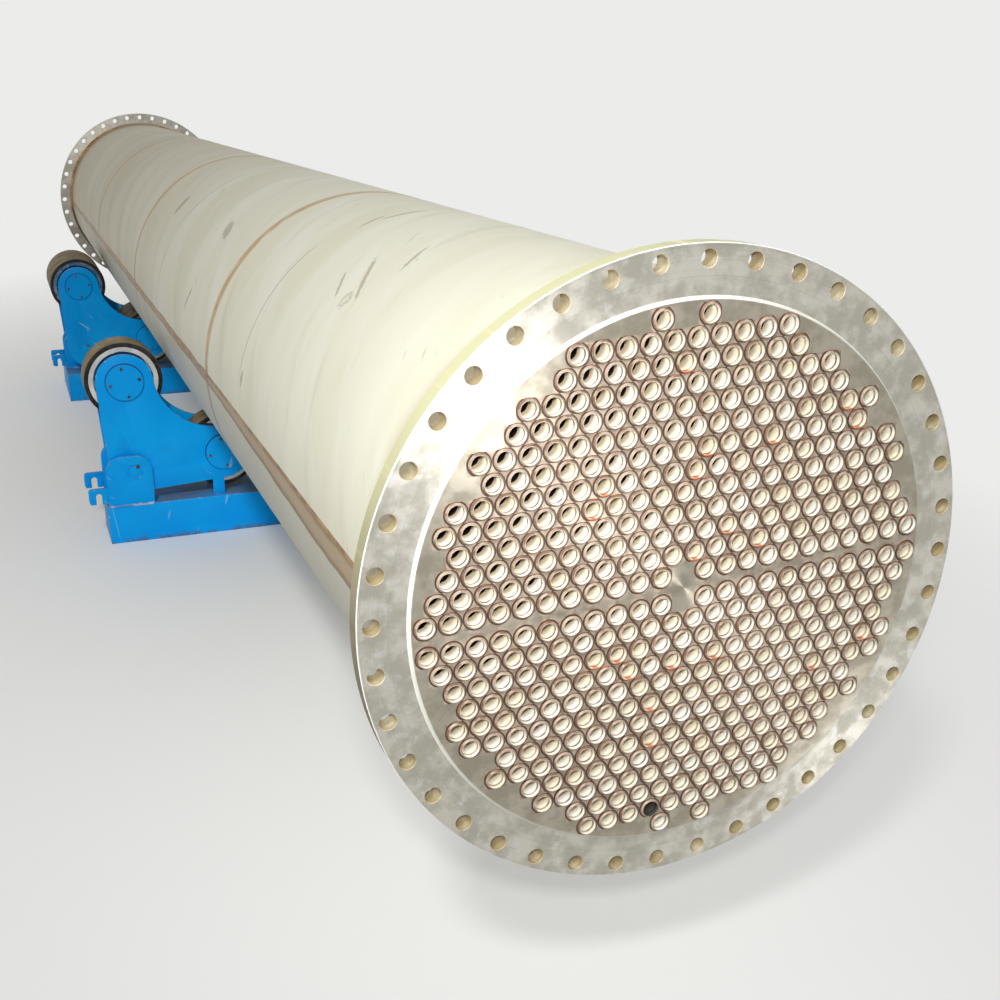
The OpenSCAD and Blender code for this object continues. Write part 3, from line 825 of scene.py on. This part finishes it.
def grown(bm, edges, centre, radius, y):
    """Draws the next ring of a step, a wall or a chamfer from a ring of edges. Returns the new ring."""
    made = bmesh.ops.extrude_edge_only(bm, edges=edges)["geom"]
    for vert in [g for g in made if isinstance(g, bmesh.types.BMVert)]:
        flat = Vector((vert.co.x - centre.x, 0, vert.co.z - centre.z)).normalized() * radius
        vert.co = Vector((centre.x + flat.x, y, centre.z + flat.z))
    return [g for g in made if isinstance(g, bmesh.types.BMEdge)]


def fill(bm, edges, way):
    """Closes a flat face between rings of edges."""
    bmesh.ops.triangle_fill(bm, use_beauty=True, use_dissolve=False, edges=edges, normal=(0, way, 0))


def tubesheet(front):
    """One tubesheet, made facing the front and mirrored for the rear."""
    bm = bmesh.new()
    face_y = field_y + field_rise

    # Field: its rim runs over an edge break and down a hollow foot to the flange face
    edge = circle_edges(bm, vessel_axis + Vector((0, field_y, 0)), field_r - field_edge, disc_segments)
    holes = []
    for u, v in tube_spots + [(-u, -v) for u, v in tube_spots]:
        centre = on_sheet(u, v, field_y)
        holes.append((circle_edges(bm, centre, tube_r + tube_fit, hole_segments), centre))
    fill(bm, edge + [e for ring, _ in holes for e in ring], -1)
    edge = grown(bm, edge, vessel_axis, field_r, field_y + field_edge)
    for out, up in STEP_FOOT:
        edge = grown(bm, edge, vessel_axis, field_r + out, face_y - up)

    # Flange face with its bolt holes, edge breaks and back
    rim = circle_edges(bm, vessel_axis + Vector((0, face_y, 0)), flange_r - flange_edge, disc_segments)
    bolts = []
    for i in range(bolt_count):
        turn = (i + 0.5) * math.tau / bolt_count
        centre = on_sheet(-bolt_ring_r * math.sin(turn), bolt_ring_r * math.cos(turn), face_y)
        bolts.append((circle_edges(bm, centre, bolt_r + bolt_edge, bolt_segments), centre))
    fill(bm, edge + rim + [e for ring, _ in bolts for e in ring], -1)
    edge = grown(bm, rim, vessel_axis, flange_r, face_y + flange_edge)
    edge = grown(bm, edge, vessel_axis, flange_r, back_y - back_edge)
    back = grown(bm, edge, vessel_axis, flange_r - back_edge, back_y)
    for ring, centre in bolts:
        edge = grown(bm, ring, centre, bolt_r, face_y + bolt_edge)
        edge = grown(bm, edge, centre, bolt_r, back_y - bolt_edge)
        back += grown(bm, edge, centre, bolt_r + bolt_edge, back_y)
    for ring, centre in holes:
        back += grown(bm, ring, centre, tube_r + tube_fit, back_y)
    fill(bm, back, 1)
    if not front:
        bmesh.ops.scale(bm, verts=bm.verts, vec=(1, -1, 1))
    bmesh.ops.recalc_face_normals(bm, faces=bm.faces)
    return bm


# Where a point lies in the tube pattern: how far from the nearest tube's middle and how far over it, a value
# from 0 to 1 that is that tube's own, its column and row, and whether no tube is there. The two halves mirror
# across the lane. Columns, rows and the reach are compared with a small tolerance.
tolerance = 0.1
reach_tolerance = 0.0001
cell, given, gives = new_group("tube_cell", {"Pitch": tube_pitch, "Lane": lane_width, "Step": row_step},
                               ("Off", "Tone", "Low", "Past", "Column", "Row"))
spot = add(cell, "ShaderNodeSeparateXYZ", {0: own_place(cell)}).outputs
rise = minus(cell, spot["Z"], axis_z)
turn_cos, turn_sin = math.cos(vessel_turn), math.sin(vessel_turn)
u = plus(cell, times(cell, spot["X"], turn_cos), times(cell, rise, turn_sin))
v = minus(cell, times(cell, rise, turn_cos), times(cell, spot["X"], turn_sin))
upward = calc(cell, "SIGN", v)
off_lane = calc(cell, "ABSOLUTE", v)
first = times(cell, given["Lane"], 0.5)
rows_up = calc(cell, "DIVIDE", minus(cell, off_lane, first), given["Step"])
row = calc(cell, "MAXIMUM", calc(cell, "ROUND", rows_up), 0.0)
shift = times(cell, calc(cell, "MODULO", row, 2.0), 0.5)
columns_along = minus(cell, calc(cell, "DIVIDE", u, given["Pitch"]), shift)
column = plus(cell, calc(cell, "ROUND", columns_along), shift)
tube_u = times(cell, column, given["Pitch"])
tube_v = plus(cell, times(cell, row, given["Step"]), first)
off_v = minus(cell, off_lane, tube_v)
signed_row = times(cell, plus(cell, row, 1.0), upward)
tone = add(cell, "ShaderNodeTexWhiteNoise", {"Vector": vector_of(cell, column, signed_row)},
           noise_dimensions="3D").outputs["Value"]
reach = vector_calc(cell, "LENGTH", vector_of(cell, tube_u, tube_v))
none_there = [calc(cell, "GREATER_THAN", reach, tube_limit + reach_tolerance)]
for free_row, free_column in free_spots:
    none_there.append(times(cell, calc(cell, "COMPARE", row, free_row - 1, tolerance), calc(
        cell, "COMPARE", calc(cell, "ABSOLUTE", column), free_column, tolerance)))
give(cell, gives, Off=vector_calc(cell, "LENGTH", vector_of(cell, minus(cell, u, tube_u), off_v)), Tone=tone,
     Low=times(cell, off_v, upward), Past=widest(cell, none_there), Column=column, Row=signed_row)

# Turned stainless, satin and smudged: bright rings across the light, tan on walls that weren't polished and
# painted shade in the holes, painted highlight on the step and edge breaks, straw to brown heat tint among
# the tubes, and a dark ring at each tube's foot that is heat tint and painted shade
turning_scale = 420.0
heat_span = (0.024, 0.015)
burnt_r, burnt_half, burnt_fade = 0.0151, 0.0005, 0.0009
field_fade = 0.003
step_zone = 0.006
edge_zone = 0.002
sheet_steel, tree, shader = new_material("turned_tubesheet", Anisotropic=0.8)
place = own_place(tree)
from_axis = vector_calc(tree, "MULTIPLY", vector_calc(tree, "SUBTRACT", place, (0, 0, axis_z)), (1, 0, 1))
across = vector_calc(tree, "NORMALIZE", from_axis)
radius = vector_calc(tree, "LENGTH", from_axis)
flat = calc(tree, "ABSOLUTE", facing(tree, "Y"))
rings = noise(tree, vector_of(tree, radius), turning_scale, 3.0)
smudged = patchy(tree, 26.0, 0.38, 0.62)
near_tube = use_group(tree, cell)
in_field = fade(tree, radius, field_r, field_r - field_fade)
among = times(tree, minus(tree, 1.0, near_tube["Past"]), in_field)
field_grey = tint(tree, smudged, colour(166, 159, 143), colour(192, 185, 169))
warm = times(tree, fade(tree, near_tube["Off"], *heat_span), among)
straw = tint(tree, patchy(tree, 70.0, 0.4, 0.6), colour(142, 120, 102), colour(188, 171, 151))
soot = times(tree, patchy(tree, 110.0, 0.52, 0.64), warm)
# A dark ring round each tube's foot: heat tint, and painted shade where the bead meets the tubesheet
burnt = times(tree, band(tree, near_tube["Off"], burnt_r, burnt_half, burnt_fade), among)
grey = stained(tree, tint(tree, smudged, colour(188, 184, 172), colour(218, 214, 203)),
               (patchy(tree, 52.0, 0.55, 0.7), colour(222, 224, 228), 0.4),
               (fade(tree, rings, 0.5, 0.75), colour(140, 138, 130), 0.3),
               (in_field, field_grey, 1.0),
               (warm, straw, 0.85),
               (soot, colour(112, 84, 68), 0.45),
               (burnt, colour(52, 38, 30), 0.9))

# Walls: tan in the holes, unpolished steel that is also painted shade in the holes; pale at the field's step
# and on the outer edge breaks, which is painted highlight; round the rim darker brown towards the bottom and
# pale straw towards the top
wall_span, rim_span = (0.94, 0.8), (0.6, 0.4)
rim_heights = (axis_z - 0.1, axis_z + 0.3)
wall = fade(tree, flat, *wall_span)
outermost = calc(tree, "GREATER_THAN", radius, flange_r - edge_zone)
rim = times(tree, fade(tree, flat, *rim_span), outermost)
rim_tan = tint(tree, fade(tree, part(tree, place, "Z"), *rim_heights),
               colour(124, 110, 86), colour(206, 204, 160))
# The tan of the hole walls is unpolished steel and painted shade in the holes
wall_tan = tint(tree, patchy(tree, 26.0), colour(178, 162, 122), colour(208, 198, 168))
# The pale step and outer edge breaks are painted highlight, and the rim is darker towards the bottom
wall_tan = stained(tree, wall_tan,
                   (calc(tree, "LESS_THAN", radius, field_r + step_zone), colour(226, 224, 214), 1.0),
                   (outermost, colour(238, 238, 232), 1.0),
                   (rim, rim_tan, 1.0))
feed(tree, shader, Base_Color=tint(tree, wall, grey, wall_tan), Tangent=across,
     Metallic=times(tree, fade(tree, wall, 0.0, 1.0, 0.92, 0.15, soft=False),
                    fade(tree, warm, 0.0, 1.0, 1.0, 0.35, soft=False)),
     Roughness=plus(tree, times(tree, warm, 0.2), plus(tree, times(tree, smudged, 0.07), 0.50)))

for end in ("front", "rear"):
    node = end + "_tubesheet"
    piece = add_piece(tubesheet(end == "front"), node + "_disc", "vessel", sheet_steel)
    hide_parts(node)


# Tubes
# Seam-welded stainless tubes run from tubesheet to tubesheet. Each stands a little proud at both ends, is
# rolled out to its hole and is held by one fused bead, dark at the foot with heat tint and painted shade, and
# straw to copper where it was hot.
tube_wall = 0.00165
tube_out = 0.0035
bead_foot = 0.002
bead_height = 0.0026
mouth_depth = 0.0050
mouth_step = 0.0003
mouth_slope = 0.0006
mouth_edge = 0.0002
rolled_least = 0.0255
rolled_spread = 0.0060
rolled_fade = 0.0012
tube_segments = 20
blocked_column, blocked_row = -1.5, -12
rusty_share = 0.04

# The bead's outline, in shares of its foot and height: out from the tube and up from the tubesheet
BEAD = ((0.35, 0.9), (0.8, 0.5), (1, 0))

# Where the colours change: past the mouth's step, down the bore, up the bead, and off the tube's middle and
# below it
ring_span = (0.0038, 0.0022)
pale_depth = 0.012
foot_span = (0.0014, 0.0030)
rim_fade = 0.0006
bore_fade = 0.0005
rust_span = (-0.0095, -0.0115)
rust_depth = (0.012, 0.008)

# Bore: pale inside the rolled mouth, with a brown ring past its step that is stain and painted shade below
# the step. Deeper in it is painted grey, and past the rolled part, whose depth differs a little from tube to
# tube, it is painted dark: dull unrolled steel and painted shade deep in the tube. One tube is blocked.
tube_steel, tree, shader = new_material("drawn_tube", Metallic=0.1, Roughness=0.45, Specular_IOR_Level=0.25)
place = own_place(tree)
depth = minus(tree, tube_out - field_y, calc(tree, "ABSOLUTE", part(tree, place, "Y")))
at_tube = use_group(tree, cell)
blotch = noise(tree, place, 70.0, 3.0)
step_ring = times(tree, fade(tree, depth, mouth_depth - mouth_slope, mouth_depth),
                  fade(tree, depth, mouth_depth + ring_span[0], mouth_depth + ring_span[1]))
step_brown = tint(tree, fade(tree, blotch, 0.4, 0.6), colour(116, 98, 80), colour(176, 158, 136))
past_rolled = minus(tree, depth, plus(tree, times(tree, at_tube["Tone"], rolled_spread), rolled_least))
blocked = times(tree, calc(tree, "COMPARE", at_tube["Column"], blocked_column, tolerance),
                calc(tree, "COMPARE", at_tube["Row"], blocked_row, tolerance))
bore = stained(tree, tint(tree, at_tube["Tone"], colour(246, 244, 234), colour(238, 229, 206)),
               (step_ring, step_brown, 1.0),
               (fade(tree, depth, pale_depth, rolled_least), colour(180, 165, 140), 1.0),
               (fade(tree, past_rolled, 0.0, rolled_fade), colour(34, 26, 20), 1.0),
               (blocked, colour(30, 24, 20), 0.94))

# Outside: the bead's heat tint, its dark foot, which is heat tint and painted shade where the bead meets the
# tubesheet, and the bare rim, with rust run down from a few of the tubes
hot = tint(tree, fade(tree, plus(tree, blotch, times(tree, at_tube["Tone"], 0.16)), 0.50, 0.72),
           colour(170, 150, 132), colour(116, 88, 70))
foot = tint(tree, fade(tree, blotch, 0.35, 0.6), colour(48, 34, 27), colour(104, 76, 58))
outside = stained(tree, hot,
                  (fade(tree, depth, *foot_span), foot, 1.0),
                  (fade(tree, at_tube["Off"], tube_r, tube_r - rim_fade), colour(158, 144, 130), 1.0))
off_bore = fade(tree, at_tube["Off"], tube_r - tube_wall + mouth_step, tube_r - tube_wall + bore_fade)
rust = times(tree, calc(tree, "GREATER_THAN", at_tube["Tone"], 1 - rusty_share),
             fade(tree, at_tube["Low"], *rust_span))
rust = times(tree, rust, fade(tree, depth, *rust_depth))
steel = tint(tree, off_bore, bore, outside)
feed(tree, shader, Base_Color=tint(tree, rust, steel, colour(176, 84, 30), 0.85))


def tube_end(y, outward):
    """Outline of a tube's end from the bore over rim and bead to the outside, as (radius, y) pairs."""
    bore_r = tube_r - tube_wall
    step_y = y + outward * (tube_out - mouth_depth)
    return [(bore_r, step_y - outward * mouth_slope), (bore_r + mouth_step, step_y),
            (bore_r + mouth_step, y + outward * tube_out), (tube_r - mouth_edge, y + outward * tube_out),
            *[(tube_r + bead_foot * out, y + outward * bead_height * up) for out, up in BEAD], (tube_r, y)]


outline = tube_end(field_y, -1) + list(reversed(tube_end(-field_y, 1)))
tube = as_mesh(turned(outline, Vector((0, 0, 0)), tube_segments), "tube")
for half, sign in (("upper", 1), ("lower", -1)):
    bm = bmesh.new()
    for u, v in tube_spots:
        put(bm, tube, Matrix.Translation(on_sheet(sign * u, sign * v, 0)))
    piece = add_piece(bm, half + "_tube_bundle", "vessel", tube_steel)
    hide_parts(half + "_tubes")
bpy.data.meshes.remove(tube)


# Floor and light
# A pale floor fades out around the object into an even white room. One soft lamp hangs high on the left, a
# small one in front of the tubesheet lights the bores, and the rest is the light of the room.
floor_size = 40.0
floor_clear = 0.45
floor_gone = 2.4
floor_stretch = (1.0, 0.45, 0)
floor_glow = 0.12
key_place, key_target = (-1.77, -4.80, 3.64), (-0.2, -1.2, 0.6)
key_size, key_power = 0.5, 100
front_place, front_target = (-0.79, -4.12, 1.50), (0, -2.6, 0.69)
front_size, front_power = 0.12, 4.2
front_spread = math.radians(60)
room_light, room_white = 0.33, 1.0

bm = bmesh.new()
bmesh.ops.create_grid(bm, x_segments=1, y_segments=1, size=floor_size / 2)
mesh = as_mesh(bm, "floor")
floor = bpy.data.objects.new("floor", mesh)
bpy.context.scene.collection.objects.link(floor)
floor_paint, tree, shader = new_material("floor_paint", Base_Color=colour(232, 232, 230), Roughness=0.6,
                                         Emission_Color=colour(255, 255, 255))
off = vector_calc(tree, "LENGTH", vector_calc(tree, "MULTIPLY", own_place(tree), floor_stretch))
seen = add(tree, "ShaderNodeLightPath").outputs["Is Camera Ray"]
feed(tree, shader, Alpha=fade(tree, off, floor_clear, floor_gone, 1.0, 0.0, soft=False),
     Emission_Strength=times(tree, seen, floor_glow))
mesh.materials.append(floor_paint)


def soft_light(name, place, target, size, power, spread=math.pi):
    """A square area light at a place, aimed at a target, with its beam held to a spread."""
    lamp = bpy.data.lights.new(name, "AREA")
    lamp.shape = "SQUARE"
    lamp.size = size
    lamp.energy = power
    lamp.spread = spread
    made = bpy.data.objects.new(name, lamp)
    made.location = place
    made.rotation_euler = (Vector(target) - Vector(place)).to_track_quat("-Z", "Y").to_euler()
    bpy.context.scene.collection.objects.link(made)


soft_light("key", key_place, key_target, key_size, key_power)
soft_light("front", front_place, front_target, front_size, front_power, front_spread)

world = bpy.data.worlds.new("room")
bpy.context.scene.world = world
world.use_nodes = True
tree = world.node_tree
path = add(tree, "ShaderNodeLightPath").outputs
seen = widest(tree, [path["Is Camera Ray"], path["Is Glossy Ray"], path["Is Transmission Ray"]])
backdrop = tree.nodes["Background"].inputs
backdrop["Color"].default_value = colour(236, 236, 235)
tree.links.new(fade(tree, seen, 0, 1, room_light, room_white, soft=False), backdrop["Strength"])

bpy.context.scene.view_settings.view_transform = "Standard"
